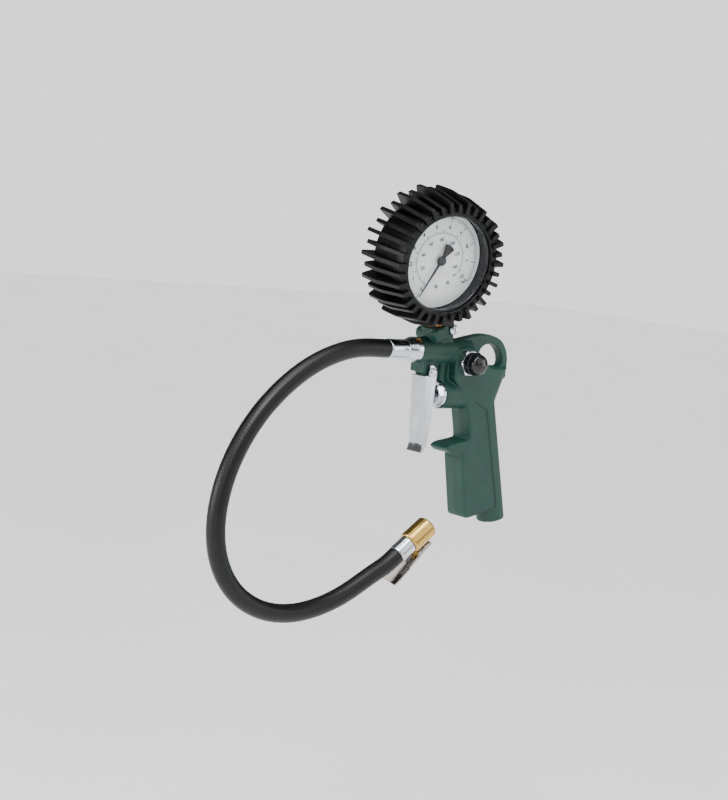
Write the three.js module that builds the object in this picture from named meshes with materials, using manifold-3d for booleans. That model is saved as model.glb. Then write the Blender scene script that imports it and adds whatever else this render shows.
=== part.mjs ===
// Tyre inflator gun with a pressure gauge, a short hose and a clip-on tyre chuck.
// Millimetres, +Z up. The origin is in the palm of the grip, -X is the hose side, -Y is the dial side.
import * as THREE from 'three';
import { mergeVertices } from 'three/addons/utils/BufferGeometryUtils.js';
import Module from 'manifold-3d';

const wasm = await Module();
wasm.setup();

// ---------- driving dimensions ----------
const GAP = 0.3;
const THROUGH = 1;

const BARREL_Z = 87.4;
const BARREL_R = 10.3;
const BARREL_FRONT = -72.1;
const BARREL_BACK = -18;
const AIRWAY_R = 4;

const VALVE_Z = 52.2;
const VALVE_BOSS_R = 11.2;
const VALVE_FRONT = -44;
const VALVE_BORE_R = 6.5;
const VALVE_BORE_END = -15;

const VENT_X = -26.9;
const VENT_Z = 79.5;
const VENT_FACE = -12;
const VENT_BORE_R = 5.3;

const PIVOT_X = -59.9;
const PIVOT_Z = 70.3;
const PIVOT_PIN_R = 2;
const LUG_HALF = 5.5;

const GRIP_HALF = 11.6;
const PANEL_DEPTH = 0.7;
const LOOP_HALF = 4.4;

const INLET_END = [27.9, -50];
const INLET_R = 11.4;
const INLET_BORE_R = 5.7;
const INLET_DEPTH = 15;
const GRIP_LEAN = THREE.MathUtils.degToRad(14.7);
const BACK_R = 11.5;
const BACK_TOP = [2.3, 48.6];
const HORN_TOP = [13.6, 80];

const NECK_TOP = [-54.4, 0, 109.1];
const NECK_R = 12;
const NECK_BORE_R = 6.7;
const GAUGE_LEAN = THREE.MathUtils.degToRad(20.2);
const GAUGE_TIP = THREE.MathUtils.degToRad(7.1);
const GAUGE_SWING = THREE.MathUtils.degToRad(-8.3);
const STEM_LENGTH = 56;

const HOSE_R = 7.25;
const CHUCK_START = [-71, 0, -77];
const CHUCK_RISE = THREE.MathUtils.degToRad(36.6);
const CHUCK_ROLL = THREE.MathUtils.degToRad(20);

// ---------- geometry helpers ----------
const V = (x, y, z) => new THREE.Vector3(x, y, z);

/**
 * Merges shared corners, so that a geometry is one closed skin, and turns it right side out.
 * A joined or cut piece has no normals and is a closed skin already.
 */
function closed(geometry) {
  if (!geometry.attributes.normal) {
    return geometry;
  }
  const bare = geometry.clone();
  bare.deleteAttribute('normal');
  bare.deleteAttribute('uv');
  const merged = mergeVertices(bare, 1e-4);
  const p = merged.attributes.position;
  const index = Array.from(merged.index.array);
  const a = V();
  const b = V();
  const c = V();
  let volume = 0;
  for (let i = 0; i < index.length; i += 3) {
    a.fromBufferAttribute(p, index[i]);
    b.fromBufferAttribute(p, index[i + 1]);
    c.fromBufferAttribute(p, index[i + 2]);
    volume += a.dot(b.cross(c));
  }
  if (volume < 0) {
    index.reverse();
  }
  merged.setIndex(index);
  return merged;
}

function toSolid(geometry) {
  const skin = closed(geometry);
  return new wasm.Manifold(new wasm.Mesh({
    numProp: 3,
    vertProperties: new Float32Array(skin.attributes.position.array),
    triVerts: new Uint32Array(skin.index.array),
  }));
}

function fromSolid(solid) {
  const mesh = solid.getMesh();
  const geometry = new THREE.BufferGeometry();
  geometry.setAttribute('position', new THREE.BufferAttribute(new Float32Array(mesh.vertProperties), 3));
  geometry.setIndex(Array.from(mesh.triVerts));
  return geometry;
}

/** Joins the pieces in the first list, then takes away those in the second. */
function carve(pieces, cuts = []) {
  let solid = toSolid(pieces[0]);
  for (const piece of pieces.slice(1)) {
    solid = solid.add(toSolid(piece));
  }
  for (const cut of cuts) {
    solid = solid.subtract(toSolid(cut));
  }
  return fromSolid(solid);
}

/** A round bar or a cone between two points. */
function rod(from, to, radius, sides = 20, endRadius = radius) {
  const start = V(...from);
  const run = V(...to).sub(start);
  const geometry = new THREE.CylinderGeometry(endRadius, radius, run.length(), sides);
  geometry.translate(0, run.length() / 2, 0);
  geometry.applyQuaternion(new THREE.Quaternion().setFromUnitVectors(V(0, 1, 0), run.clone().normalize()));
  return geometry.translate(start.x, start.y, start.z);
}

/** A turned shape: the profile is [radius, distance along the axis], from a point in a direction. */
function turned(profile, origin, direction, sides = 24) {
  const geometry = new THREE.LatheGeometry(profile.map(([r, s]) => new THREE.Vector2(r, s)), sides);
  geometry.applyQuaternion(new THREE.Quaternion().setFromUnitVectors(V(0, 1, 0), V(...direction).normalize()));
  return geometry.translate(...origin);
}

/** A ring of rectangular section along an axis. */
function ring(inner, outer, start, end, origin, direction, sides = 24) {
  const profile = [[inner, start], [outer, start], [outer, end], [inner, end], [inner, start]];
  return turned(profile, origin, direction, sides);
}

function block(x0, x1, y0, y1, z0, z1) {
  const geometry = new THREE.BoxGeometry(x1 - x0, y1 - y0, z1 - z0);
  return geometry.translate((x0 + x1) / 2, (y0 + y1) / 2, (z0 + z1) / 2);
}

/** A side outline [x, z] pushed out to both sides of the XZ plane, with rounded edges. */
function plate(outline, half, bevel = 0, steps = 2) {
  const shape = outline instanceof THREE.Shape ? outline : smoothShape(outline);
  const depth = 2 * (half - bevel);
  const options = { depth, bevelEnabled: bevel > 0, curveSegments: 6, steps: 1 };
  Object.assign(options, { bevelSize: bevel, bevelOffset: -bevel, bevelThickness: bevel, bevelSegments: steps });
  const geometry = new THREE.ExtrudeGeometry(shape, options);
  geometry.translate(0, 0, -depth / 2);
  return geometry.rotateX(Math.PI / 2);
}

/** A closed outline through corners; [x, z, r] is rounded from r before the corner to r after it. */
function smoothShape(points) {
  const path = new THREE.Shape();
  const n = points.length;
  points.forEach(([x, z, rounding = 0], i) => {
    const here = new THREE.Vector2(x, z);
    const before = new THREE.Vector2(...points[(i + n - 1) % n]).sub(here);
    const after = new THREE.Vector2(...points[(i + 1) % n]).sub(here);
    const r = Math.min(rounding, 0.48 * before.length(), 0.48 * after.length());
    const enter = here.clone().add(before.setLength(r));
    const leave = here.clone().add(after.setLength(r));
    if (i === 0) {
      path.moveTo(enter.x, enter.y);
    } else {
      path.lineTo(enter.x, enter.y);
    }
    if (r > 0) {
      path.quadraticCurveTo(x, z, leave.x, leave.y);
    }
  });
  path.closePath();
  return path;
}

/** A six-sided bar between two points, its size given across the flats. */
function hexBar(from, to, acrossFlats) {
  return rod(from, to, acrossFlats / Math.sqrt(3), 6);
}

/** A coil spring of round wire about an axis. */
function coil(radius, wire, start, end, turns, origin, direction) {
  const points = [];
  const stepsPerTurn = 10;
  for (let i = 0; i <= turns * stepsPerTurn; i += 1) {
    const angle = (i / stepsPerTurn) * 2 * Math.PI;
    const along = start + ((end - start) * i) / (turns * stepsPerTurn);
    points.push(V(radius * Math.cos(angle), along, radius * Math.sin(angle)));
  }
  const path = new THREE.CatmullRomCurve3(points);
  const section = new THREE.Shape();
  section.absarc(0, 0, wire / 2, 0, 2 * Math.PI);
  const options = { steps: turns * stepsPerTurn, curveSegments: 5, bevelEnabled: false, extrudePath: path };
  const geometry = new THREE.ExtrudeGeometry(section, options);
  geometry.applyQuaternion(new THREE.Quaternion().setFromUnitVectors(V(0, 1, 0), V(...direction).normalize()));
  return geometry.translate(...origin);
}

const inflator = new THREE.Group();

function finish(color, roughness, metalness) {
  return { color, roughness, metalness };
}

const GREEN_CAST = finish(0x1f5448, 0.6, 0.2);
const ZINC = finish(0xc9ccd1, 0.25, 1);
const STEEL = finish(0x9a9da1, 0.35, 1);
const BRASS = finish(0xc9a75a, 0.3, 1);
const BLACK_RUBBER = finish(0x151515, 0.8, 0);
const BLACK_PLASTIC = finish(0x101012, 0.3, 0);
const DIAL_WHITE = finish(0xf4f5f6, 0.5, 0);
const GLASS = finish(0xe8f0f2, 0.05, 0);

/** Names one piece and adds it to a group. */
function add(name, geometry, look, group = inflator) {
  const mesh = new THREE.Mesh(closed(geometry), new THREE.MeshStandardMaterial(look));
  mesh.name = name;
  group.add(mesh);
  return mesh;
}

// ---------- the die-cast gun body ----------
const X_AXIS = [1, 0, 0];
const Y_AXIS = [0, 1, 0];
const neckAxis = V(0, 0, 1).applyEuler(new THREE.Euler(GAUGE_TIP, -GAUGE_LEAN, 0, 'YXZ'));
const gripAxis = V(Math.sin(GRIP_LEAN), 0, -Math.cos(GRIP_LEAN));
const alongNeck = (distance) => V(...NECK_TOP).addScaledVector(neckAxis, distance).toArray();
const alongInlet = (distance) => V(INLET_END[0], 0, INLET_END[1]).addScaledVector(gripAxis, distance).toArray();

const BUMP_XS = [-43.2, -34.2];
const CROSS_BOSS = [-58.7, 100.5];
const CLAMP_X = -43.9;
const CLAMP_Z = 105.3;
const CLAMP_HALF = 9.3;

/** Grip, seen from the side: the upper body, the back, the sloping foot and the two finger faces. */
function gripOutline() {
  return [
    [-38, 90, 4], [-24, 93, 6], [-9, 86, 6], [0, 76, 4], [14, 75.5, 4], [24.3, 77, 4], [24.5, 68.5, 4],
    [15, 57, 5], [14.3, 48.6, 3], [36.8, -37, 4], [-10.6, -48, 4],
    [-21.8, 4.7, 4], [-13.4, 17.2, 4], [-20.7, 46.5, 4], [-27, 54, 4], [-38, 66, 4],
  ];
}

/** Finger hook between the two finger faces. */
function hookOutline() {
  return [[-12, 4.2, 1.6], [-24, 4.9, 4], [-34, 6.4, 4], [-38.8, 10.2, 1.8], [-34, 13.2, 3.5], [-12, 17.4, 1.6]];
}

function loopOutline() {
  return [
    [-38, 84, 3], [-38, 95.5, 3], [-24, 98.8, 8], [-2, 103.4, 14], [17, 98.5, 12], [25, 86, 8], [24.6, 66, 3],
    [10, 66, 3], [-20, 70, 3],
  ];
}

function loopHole() {
  return [[-10, 84, 3], [-5, 93, 5], [4, 95.2, 4], [13, 92, 4], [18.3, 84, 4], [18, 76.5, 3], [2, 76.2, 3]];
}

function sidePanel(side) {
  const outline = [[-13, 47.5], [0, 41.5, 1], [22.4, -39, 3], [-3, -44.9, 1], [-45, -54], [-45, 47.5]];
  const panel = plate(smoothShape(outline), 1.5);
  return panel.translate(0, side * (GRIP_HALF - PANEL_DEPTH + 1.5), 0);
}

/** What rounds the grip's back: all behind its centre line, except a round bar that leans, then flares at the top. */
function backCut() {
  const [footX, , footZ] = alongInlet(12);
  const behind = [[footX, footZ], BACK_TOP, HORN_TOP, [60, HORN_TOP[1]], [60, footZ]];
  const region = plate(behind, 2 * GRIP_HALF);
  const turn = [BACK_TOP[0], 0, BACK_TOP[1]];
  const bend = new THREE.SphereGeometry(BACK_R, 40, 20).translate(...turn);
  const lower = rod(alongInlet(14), turn, BACK_R, 40);
  const upper = rod(turn, [HORN_TOP[0] + 2, 0, HORN_TOP[1] + 5.6], BACK_R, 40);
  return [lower, upper, bend].reduce((rest, bar) => rest.subtract(toSolid(bar)), toSolid(region));
}

/** One casting: barrel, grip, hanging loop, neck, valve boss and inlet boss, with its airways cut through. */
function gunBody() {
  const neckRoot = 20;
  const edge = 2;
  const handle = [plate(gripOutline(), GRIP_HALF, edge), plate(hookOutline(), GRIP_HALF - 1, 0.7)];
  const flatGrip = toSolid(carve(handle, [sidePanel(-1), sidePanel(1)]));
  const grip = fromSolid(flatGrip.subtract(backCut()));
  const pivotLug = [[-66.5, 82], [-66.5, 74], [-64.8, 66, 4], [-58, 63.5, 4], [-52.5, 68, 3], [-52, 82]];
  const solid = [
    rod([BARREL_FRONT, 0, BARREL_Z], [BARREL_BACK, 0, BARREL_Z], BARREL_R, 32),
    grip,
    carve([plate(loopOutline(), LOOP_HALF, 1.2)], [plate(loopHole(), 2 * LOOP_HALF)]),
    rod(alongNeck(0), alongNeck(-neckRoot), NECK_R, 28, 0.7 * NECK_R),
    rod([CROSS_BOSS[0], -12.5, CROSS_BOSS[1]], [CROSS_BOSS[0], 12.5, CROSS_BOSS[1]], 5.35, 20),
    rod([CLAMP_X, -CLAMP_HALF, CLAMP_Z], [CLAMP_X, CLAMP_HALF, CLAMP_Z], 3.7, 16),
    block(-54, -40, -7, 7, 92, 104),
    block(-69.5, -66.4, -8, 8, 70, 80),
    plate(smoothShape(pivotLug), LUG_HALF),
    block(VALVE_FRONT + 0.5, -25, -2.6, 2.6, 58, 80),
    ...BUMP_XS.map((x) => rod([x, 0, 63.1], [x, 0, 82], 3.8, 16)),
    rod([VALVE_FRONT, 0, VALVE_Z], [-12, 0, VALVE_Z], VALVE_BOSS_R, 32),
    rod([VENT_X, VENT_FACE, VENT_Z], [VENT_X, 8, VENT_Z], 10.6, 8),
    rod(alongInlet(0), alongInlet(-14), INLET_R, 40),
  ];
  const airway = [
    rod([BARREL_FRONT - THROUGH, 0, BARREL_Z], [-28, 0, BARREL_Z], AIRWAY_R, 16),
    rod([BARREL_FRONT - THROUGH, 0, BARREL_Z], [-57, 0, BARREL_Z], VALVE_BORE_R, 20),
    rod([VALVE_FRONT - THROUGH, 0, VALVE_Z], [VALVE_BORE_END, 0, VALVE_Z], VALVE_BORE_R, 20),
    rod([BUMP_XS[1], 0, VALVE_Z], [BUMP_XS[1], 0, BARREL_Z], 2, 10),
    rod(alongNeck(THROUGH), alongNeck(-15), NECK_BORE_R, 20),
    rod(alongNeck(-14), alongNeck(-22), 2, 10),
    rod([VENT_X, VENT_FACE - THROUGH, VENT_Z], [VENT_X, 4.5, VENT_Z], VENT_BORE_R, 20),
    rod(alongInlet(THROUGH), alongInlet(-INLET_DEPTH), INLET_BORE_R, 20),
    rod(alongInlet(-INLET_DEPTH + THROUGH), [VALVE_BORE_END - 2, 0, VALVE_Z], 3, 12),
    rod([PIVOT_X, -8, PIVOT_Z], [PIVOT_X, 8, PIVOT_Z], PIVOT_PIN_R + GAP, 16),
    rod([CLAMP_X, -CLAMP_HALF - THROUGH, CLAMP_Z], [CLAMP_X, 7.5, CLAMP_Z], 2.3 + GAP, 12),
  ];
  return carve(solid, airway);
}
add('gun_body', gunBody(), GREEN_CAST);

// ---------- trigger lever, its rivet and the main valve ----------
const LEVER_SHEET = 1.4;
const LEVER_HALF_TOP = 7.8;
const LEVER_HALF_BOTTOM = 8.8;
const LEVER_TOP = [-67, 67.6];
const LEVER_BOTTOM = [-61, 6.7];

/** A bent channel: side outline at full width, hollowed from behind by the same outline moved back. */
function triggerLever() {
  const [topX, topZ] = LEVER_TOP;
  const [lowX, lowZ] = LEVER_BOTTOM;
  const outline = [
    [topX, topZ, 1.2], [-64.5, 75.6, 3], [-58.5, 76.6, 3.4], [-53.8, 71.5, 3], [-54.6, 66, 3], [-55.6, 46, 4],
    [-57.4, 22, 6], [-59.4, 9.5, 1], [lowX + 0.8, lowZ + 2.6, 0.6], [lowX - 1.4, lowZ, 0.4],
    [lowX - 3.2, lowZ - 0.4, 0.3], [lowX - 1.2, lowZ + 5.5, 2],
  ];
  const inside = [
    [topX + LEVER_SHEET, topZ + 3], [topX + LEVER_SHEET + 2, 84], [-40, 84], [-40, 2],
    [lowX + LEVER_SHEET - 0.2, 2], [lowX + LEVER_SHEET - 0.2, 11],
  ];
  const flare = (geometry) => {
    const p = geometry.attributes.position;
    for (let i = 0; i < p.count; i += 1) {
      const down = THREE.MathUtils.clamp((topZ - p.getZ(i)) / (topZ - lowZ), 0, 1);
      p.setY(i, p.getY(i) * THREE.MathUtils.lerp(1, LEVER_HALF_BOTTOM / LEVER_HALF_TOP, down));
    }
    return geometry;
  };
  const skin = flare(plate(smoothShape(outline), LEVER_HALF_TOP));
  const hollow = flare(plate(smoothShape(inside), LEVER_HALF_TOP - LEVER_SHEET));
  const aboveLug = block(-75, -62.2, -20, 20, topZ, 90);
  const pinHole = rod([PIVOT_X, -12, PIVOT_Z], [PIVOT_X, 12, PIVOT_Z], PIVOT_PIN_R + GAP, 16);
  return carve([skin], [hollow, aboveLug, pinHole]);
}
add('trigger_lever', triggerLever(), ZINC);

function pivotRivet() {
  const end = LEVER_HALF_TOP + 0.6;
  const head = 1.8;
  const profile = [[0, -end - head], [2.6, -end - head], [3.8, -end - 0.8], [3.8, -end], [PIVOT_PIN_R, -end]];
  const mirrored = profile.map(([r, s]) => [r, -s]).reverse();
  return turned([...profile, ...mirrored], [PIVOT_X, 0, PIVOT_Z], Y_AXIS, 20);
}
add('trigger_pin', pivotRivet(), ZINC);

const STEM_R = 2.2;
const STEM_TIP = -63.6;
const PLUG_END = -30;

function valvePlug() {
  const origin = [0, 0, VALVE_Z];
  const bore = STEM_R + GAP;
  const body = turned([
    [bore, -46.6], [10.2, -46.6], [10.4, -46.2], [10.4, VALVE_FRONT - GAP], [5.2, VALVE_FRONT - GAP], [5.2, -41.4],
    [6.2, -41.4], [6.2, PLUG_END], [bore, PLUG_END], [bore, -46.6],
  ], origin, X_AXIS, 28);
  const head = hexBar([-49.6, 0, VALVE_Z], [-46.2, 0, VALVE_Z], 14);
  return carve([body, head], [rod([-52, 0, VALVE_Z], [-28, 0, VALVE_Z], bore, 16)]);
}
add('valve_plug', valvePlug(), ZINC);
const plugSeal = ring(5.5, 6.3, VALVE_FRONT + 0.1, -41.8, [0, 0, VALVE_Z], X_AXIS, 24);
add('valve_plug_seal', plugSeal, BLACK_RUBBER);

const valveStem = [
  [0, STEM_TIP], [1.4, STEM_TIP], [STEM_R, STEM_TIP + 1], [STEM_R, -28], [5, -28], [5, -26.4], [1.6, -26.4],
  [1.6, -22.5], [0, -22.5],
];
add('valve_stem', turned(valveStem, [0, 0, VALVE_Z], X_AXIS, 16), STEEL);
add('valve_seal', ring(STEM_R + GAP, 5.2, -29.7, -28.3, [0, 0, VALVE_Z], X_AXIS, 20), BLACK_RUBBER);
add('valve_spring', coil(3.8, 0.9, -25.6, -16.2, 4, [0, 0, VALVE_Z], X_AXIS), STEEL);

// ---------- vent valve on the dial side ----------
const ventOrigin = [VENT_X, 0, VENT_Z];
const NUT_FACE = VENT_FACE - GAP;
const NUT_END = NUT_FACE - 5;
const COLLAR_END = -22.6;
const COLLAR_FLOOR = -18.5;
const CAP_REAR = -21.8;
const NUT_FLATS = 19;
const hexNut = hexBar([VENT_X, NUT_FACE, VENT_Z], [VENT_X, NUT_END, VENT_Z], NUT_FLATS);
const nutBore = rod([VENT_X, NUT_FACE + 1, VENT_Z], [VENT_X, NUT_END - 1, VENT_Z], VENT_BORE_R, 20);
add('vent_nut', carve([hexNut], [nutBore]), ZINC);
const collarBack = NUT_END - GAP;
const ventBush = [
  [2.8, 0.5], [4.9, 0.5], [4.9, collarBack], [8.8, collarBack], [9.2, collarBack - 0.6], [9.2, COLLAR_END],
  [8.5, COLLAR_END], [8.5, COLLAR_FLOOR], [2.8, COLLAR_FLOOR], [2.8, 0.5],
];
add('vent_bush', turned(ventBush, ventOrigin, Y_AXIS, 28), BLACK_PLASTIC);
const ventCap = [
  [0, -30.2], [3, -29.9], [6, -28.7], [7.6, -27.4], [8.1, -26], [8.1, CAP_REAR], [6.6, CAP_REAR], [6.4, -24.9],
  [2.6, -24.9], [0, -24.9],
];
add('vent_button', turned(ventCap, ventOrigin, Y_AXIS, 28), BLACK_PLASTIC);
const ventPin = [[0, -24.6], [2.4, -24.6], [2.4, 0.9], [0, 0.9]];
add('vent_pin', turned(ventPin, ventOrigin, Y_AXIS, 14), STEEL);
add('vent_spring', coil(4.6, 0.9, -24.3, -19.1, 3, ventOrigin, Y_AXIS), STEEL);

// ---------- clamp screw through the neck ----------
const CLAMP_HEAD = -CLAMP_HALF - GAP;
const clampOrigin = [CLAMP_X, 0, CLAMP_Z];
const clampScrew = [
  [0, 6.5], [2.3, 6.5], [2.3, CLAMP_HEAD], [4.1, CLAMP_HEAD], [4.1, CLAMP_HEAD - 1.4], [2.9, CLAMP_HEAD - 2.6],
  [0, CLAMP_HEAD - 2.9],
];
const screwSlot = block(CLAMP_X - 0.6, CLAMP_X + 0.6, CLAMP_HEAD - 4, CLAMP_HEAD - 1.3, CLAMP_Z - 6, CLAMP_Z + 6);
add('clamp_screw', carve([turned(clampScrew, clampOrigin, Y_AXIS, 20)], [screwSlot]), ZINC);

// ---------- pressure gauge, built facing -Y with its stem down, then tilted into place ----------
const gauge = new THREE.Group();
gauge.position.set(...alongNeck(STEM_LENGTH));
gauge.rotation.set(GAUGE_TIP, -GAUGE_LEAN, GAUGE_SWING, 'YXZ');
inflator.add(gauge);

const CASE_R = 40;
const CASE_BACK = 10;
const CASE_FRONT = -22;
const CASE_WALL = 1.5;
const DIAL_FACE = -13;
const BOOT_RIBS = 36;
const FIN_THICKNESS = 3.2;
const FIN_FRONT = -30.4;
const HEX_HALF = 11;
const CENTRE = [0, 0, 0];

const caseProfile = [
  [0, CASE_BACK], [CASE_R, CASE_BACK], [CASE_R, CASE_FRONT], [CASE_R - CASE_WALL, CASE_FRONT],
  [CASE_R - CASE_WALL, CASE_BACK - CASE_WALL], [0, CASE_BACK - CASE_WALL],
];
const stemSlot = block(-7.3, 7.3, -7.3, 7.3, -CASE_R - 2, -CASE_R + 3);
add('gauge_case', carve([turned(caseProfile, CENTRE, Y_AXIS, 48)], [stemSlot]), BLACK_PLASTIC, gauge);
add('gauge_bezel', ring(36.6, CASE_R, -25, CASE_FRONT - GAP, CENTRE, Y_AXIS, 48), BLACK_PLASTIC, gauge);
const pane = [[0, -21.9], [38.2, -21.9], [38.2, -20], [0, -20]];
add('gauge_window', turned(pane, CENTRE, Y_AXIS, 48), GLASS, gauge);

const DIAL_SCREW_XZ = [[-5.5, -19.9], [5.5, -19.9]];
const dialPlate = turned([[0, DIAL_FACE + 0.8], [37.8, DIAL_FACE + 0.8], [37.8, DIAL_FACE], [0, DIAL_FACE]],
  CENTRE, Y_AXIS, 48);
const dialHoles = DIAL_SCREW_XZ.map(([x, z]) => rod([x, -16, z], [x, -10, z], 1.1, 10));
dialHoles.push(rod([0, -16, 0], [0, -10, 0], 1.6, 12));
add('gauge_dial', carve([dialPlate], dialHoles), DIAL_WHITE, gauge);
DIAL_SCREW_XZ.forEach(([x, z], i) => {
  const profile = [[0, -14.2], [1.1, -14.2], [1.5, -13.9], [1.5, -13.2], [0.8, -13.2], [0.8, -10.4], [0, -10.4]];
  add(`dial_screw_${i + 1}`, turned(profile, [x, 0, z], Y_AXIS, 12), STEEL, gauge);
});

/** Pointer with a flat needle and a fan-shaped tail, at rest on the zero mark down to the left. */
function gaugePointer() {
  const needle = smoothShape([[-1.2, 0], [-0.35, 32.6], [0.35, 32.6], [1.2, 0], [1.2, -3], [4.9, -12.6],
    [3, -13.4], [0, -13.8], [-3, -13.4], [-4.9, -12.6], [-1.2, -3]]);
  const flat = plate(needle, 0.35).translate(0, -15.6, 0);
  const hub = turned([[0, -17.6], [3, -17.6], [3.8, -16.8], [3.8, -15], [0, -15]], CENTRE, Y_AXIS, 24);
  const arbor = rod([0, -15.2, 0], [0, -2.6, 0], 0.9, 12);
  const pinion = rod([0, -7.2, 0], [0, -5, 0], 1.4, 16);
  const zeroMark = THREE.MathUtils.degToRad(-135);
  return carve([flat, hub, arbor, pinion]).rotateY(zeroMark);
}
add('gauge_pointer', gaugePointer(), BLACK_PLASTIC, gauge);

/** Two plates on pillars carry the pointer's arbor and the toothed sector's pivot. */
function movementFrame() {
  const plateOutline = () => smoothShape([[-9, 5, 2], [9, 5, 2], [9, -18.5, 2], [-9, -18.5, 2]]);
  const back = plate(plateOutline(), 0.5).translate(0, -1.5, 0);
  const front = plate(plateOutline(), 0.5).translate(0, -9.9, 0);
  const pillars = [[-7, 2.5], [7, 2.5]].map(([x, z]) => rod([x, -1.5, z], [x, -9.9, z], 1.3, 10));
  const arborHole = rod([0, -12, 0], [0, 1, 0], 1.3, 12);
  const sectorHole = rod([0, -12, -14], [0, 1, -14], 1.2, 12);
  return carve([back, front, ...pillars], [arborHole, sectorHole]);
}
add('movement_frame', movementFrame(), BRASS, gauge);

/** Sector gear: a wedge whose rim rolls on the pinion, with a short tail for the link. */
function sectorGear() {
  const rim = new THREE.Shape();
  const pivotZ = -14;
  const rimRadius = 12.2;
  const first = THREE.MathUtils.degToRad(48);
  const last = THREE.MathUtils.degToRad(95);
  rim.moveTo(-1.6, pivotZ - 2);
  rim.lineTo(2, pivotZ - 3.5);
  rim.lineTo(7, pivotZ - 2.8);
  rim.lineTo(7, pivotZ - 1);
  rim.lineTo(2.4, pivotZ);
  rim.absarc(0, pivotZ, rimRadius, first, last, false);
  rim.lineTo(-1.6, pivotZ + 1);
  rim.closePath();
  const disc = plate(rim, 0.6).translate(0, -6.1, 0);
  const arbor = rod([0, -9.8, pivotZ], [0, -1.6, pivotZ], 0.9, 10);
  return carve([disc, arbor]);
}
add('sector_gear', sectorGear(), BRASS, gauge);

/** Flattened C-shaped tube that straightens with pressure, and the link from its tip. */
function bourdonTube() {
  const radius = 27;
  const from = THREE.MathUtils.degToRad(262);
  const sweep = THREE.MathUtils.degToRad(-262);
  const points = [];
  const steps = 24;
  for (let i = 0; i <= steps; i += 1) {
    const angle = from + (sweep * i) / steps;
    points.push(V(radius * Math.cos(angle), 3, radius * Math.sin(angle)));
  }
  const section = new THREE.Shape();
  section.absellipse(0, 0, 4.2, 1.3, 0, 2 * Math.PI);
  const path = new THREE.CatmullRomCurve3(points);
  const tube = new THREE.ExtrudeGeometry(section, { steps, curveSegments: 5, bevelEnabled: false, extrudePath: path });
  tube.computeBoundingBox();
  return tube;
}
add('bourdon_tube', bourdonTube(), BRASS, gauge);
add('movement_link', rod([8, -7.6, -16], [26, -3.4, -2], 0.5, 8), STEEL, gauge);

/** Brass socket: block inside the case, hexagon outside it, thread into the gun's neck. */
function gaugeSocket() {
  const threadTop = -STEM_LENGTH + GAP;
  const inner = block(-6.8, 6.8, -6, 6.8, -47, -30);
  const hexagon = hexBar([0, 0, -46], [0, 0, -54.3], 2 * HEX_HALF);
  const thread = rod([0, 0, -54], [0, 0, -STEM_LENGTH - 14], 6.3, 20);
  const bore = rod([0, 0, -STEM_LENGTH - 15], [0, 0, -33], 1.8, 10);
  const relief = ring(6.29, 8, threadTop - 0.4, threadTop, CENTRE, [0, 0, 1], 20);
  return carve([inner, hexagon, thread], [bore, relief]);
}
add('gauge_socket', gaugeSocket(), BRASS, gauge);
add('stem_gasket', ring(6.7, 9.6, -55.7, -54.6, CENTRE, [0, 0, 1], 24), finish(0xb87333, 0.4, 1), gauge);

/** Rubber boot: a sleeve over the case with fins from front to back, long and short in turn. */
function gaugeBoot() {
  const sleeve = turned([
    [40.3, 10.3], [34, 10.3], [34, 13.4], [43.6, 13.4], [45.2, 9], [45.2, -20], [43.8, -27.4], [38.2, -27.4],
    [38.2, -25.3], [40.3, -25.3], [40.3, 10.3],
  ], CENTRE, Y_AXIS, 72);
  const fins = [];
  for (let i = 0; i < BOOT_RIBS; i += 1) {
    const long = i % 2 === 0;
    const crown = long ? 54.2 : 52.2;
    const foot = long ? 40 : 41;
    const tail = long ? 16.6 : 14.6;
    const outline = [
      [43, 11], [43.5, tail - 1.5], [crown - 1.6, tail], [crown, tail - 1.6], [crown, -4], [crown - 5, FIN_FRONT],
      [foot, FIN_FRONT], [foot, -26.6], [43, -18],
    ];
    const shape = new THREE.Shape(outline.map(([r, y]) => new THREE.Vector2(r, y)));
    const fin = new THREE.ExtrudeGeometry(shape, { depth: FIN_THICKNESS, bevelEnabled: false });
    fin.translate(0, 0, -FIN_THICKNESS / 2);
    fins.push(fin.rotateY((2 * Math.PI * (i + 0.5)) / BOOT_RIBS));
  }
  const stemNotch = block(-13.6, 13.6, -13.4, 20, -60, -39);
  return carve([sleeve, ...fins], [stemNotch]);
}
add('gauge_boot', gaugeBoot(), BLACK_RUBBER, gauge);

// ---------- hose fitting, hose and its ferrules ----------
const hoseOrigin = [0, 0, BARREL_Z];
const FERRULE_END = -84.3;
const HOSE_START = -102.6;
const fitting = [
  [1.8, -100], [3.4, -100], [4, -98], [4, FERRULE_END + GAP], [7.6, FERRULE_END + GAP], [10.2, -78.2], [10.2, -72.4],
  [6.2, -72.4], [6.2, -58.5], [1.8, -58.5], [1.8, -100],
];
add('hose_fitting', turned(fitting, hoseOrigin, X_AXIS, 28), ZINC);
const ferruleFront = [
  [4.3, HOSE_START + GAP], [7.5, HOSE_START + GAP], [7.8, HOSE_START + 2], [7.6, -93], [7.9, -88], [7.8, FERRULE_END],
  [4.3, FERRULE_END], [4.3, HOSE_START + GAP],
];
add('front_ferrule', turned(ferruleFront, hoseOrigin, X_AXIS, 28), ZINC);

const HOSE_ROUTE = [
  [-102.6, 87.4], [-116, 87.6], [-130, 87], [-150, 82.8], [-170, 74.8], [-188, 64], [-204.5, 50.5], [-219, 35],
  [-231, 17.5], [-240.5, -2], [-246.5, -22.5], [-248.6, -43.5], [-246, -64], [-238, -83], [-224.5, -99],
  [-206, -110.5], [-184, -116.5], [-161, -116.6], [-138, -111.8], [-116, -103], [-94.5, -91.4], [-79.4, -83.2],
];

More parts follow.
